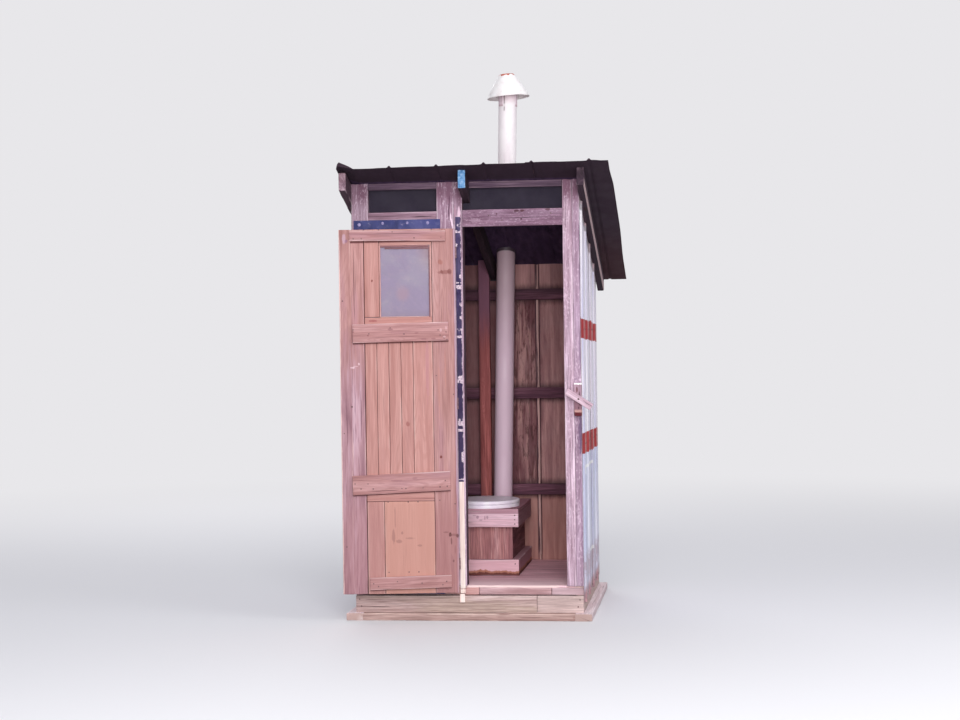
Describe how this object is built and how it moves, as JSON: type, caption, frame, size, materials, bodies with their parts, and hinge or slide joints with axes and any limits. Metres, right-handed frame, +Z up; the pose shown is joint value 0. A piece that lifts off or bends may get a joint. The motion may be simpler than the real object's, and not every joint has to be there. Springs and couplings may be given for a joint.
{
  "type": "wooden outhouse",
  "caption": "Wooden outhouse with a shed roof of crimped sheets, an open ledged door, a bench seat and a vent pipe.",
  "frame": {"origin": "on the ground under the front base plank, midway across the frame, in the plane of the posts' front faces", "axes": "+Z up, -Y to the front where the door is, +X to the right seen from the front"},
  "size_m": [1.4362, 1.7357, 3.0281],
  "materials": {
    "weathered_pale": "rough",
    "treated_wood": "rough",
    "floor_wood": "rough",
    "weathered_grey": "rough",
    "red_stud": "rough",
    "dark_girt": "rough",
    "peach_lath": "rough",
    "door_wood": "rough",
    "bench_wood": "rough",
    "screen": "matt",
    "navy": "worn",
    "pipe_plastic": "dull",
    "cap_metal": "rusting",
    "roof_metal": "rusted",
    "wall_metal": "weathered",
    "seat_plastic": "worn",
    "pane_plastic": "dull",
    "hinge_iron": "rusted"
  },
  "bodies": {
    "frame": {"base_planks_side": "weathered_pale", "base_plank_front": "weathered_pale", "base_plank_rear": "weathered_pale", "sill_front": "treated_wood", "sill_rear": "treated_wood", "sills_side": "treated_wood", "floor_bearers": "floor_wood", "floor_deck": "floor_wood", "front_left_post": "weathered_grey", "centre_board": "weathered_grey", "door_jamb": "weathered_grey", "right_post_inner": "weathered_grey", "right_post_outer": "weathered_grey", "rear_posts": "weathered_grey", "rear_stud": "red_stud", "door_header": "weathered_grey", "transom_sill": "weathered_grey", "top_plates": "weathered_grey", "transom_screens": "screen", "bay_panel": "navy", "jamb_strip": "navy", "jamb_lath": "peach_lath", "left_girts": "dark_girt", "right_girts": "dark_girt", "rear_girts": "dark_girt", "left_rafter": "weathered_grey", "centre_rafter": "weathered_grey", "right_rafter": "weathered_grey", "vent_pipe": "pipe_plastic", "vent_cap": "cap_metal", "cap_straps": "cap_metal", "roof_sheets": "roof_metal", "left_wall_sheets": "wall_metal", "right_wall_sheets": "wall_metal", "rear_wall_sheets": "wall_metal", "bench_base_band": "bench_wood", "bench_top_band": "bench_wood", "bench_front_panel": "bench_wood", "bench_side_panels": "bench_wood", "bench_top": "bench_wood", "seat_ring": "seat_plastic", "hinge_leaves_frame": "hinge_iron", "latch_block": "weathered_grey", "button_screw": "hinge_iron"},
    "door": {"door_stiles": "door_wood", "door_boards": "door_wood", "door_rails": "door_wood", "window_beads": "door_wood", "window_pane": "pane_plastic", "hinge_leaves_door": "hinge_iron"},
    "turn_button": {"turn_button": "weathered_grey"},
    "seat_lid": {"seat_lid": "seat_plastic"}
  },
  "joints": [
    {"name": "door_hinge", "type": "hinge", "parent": "frame", "child": "door", "pos_m": [-0.0465, -0.032, 1.112], "axis": [0, 0, 1], "range_deg": [-8, 172]},
    {"name": "button_pivot", "type": "hinge", "parent": "frame", "child": "turn_button", "pos_m": [0.5975, -0.0408, 1.168], "axis": [0, 1, 0], "range_deg": [-33, 147]},
    {"name": "lid_hinge", "type": "hinge", "parent": "frame", "child": "seat_lid", "pos_m": [0.0185, 0.874, 0.569], "axis": [-1, 0, 0], "range_deg": [0, 95]}
  ]
}
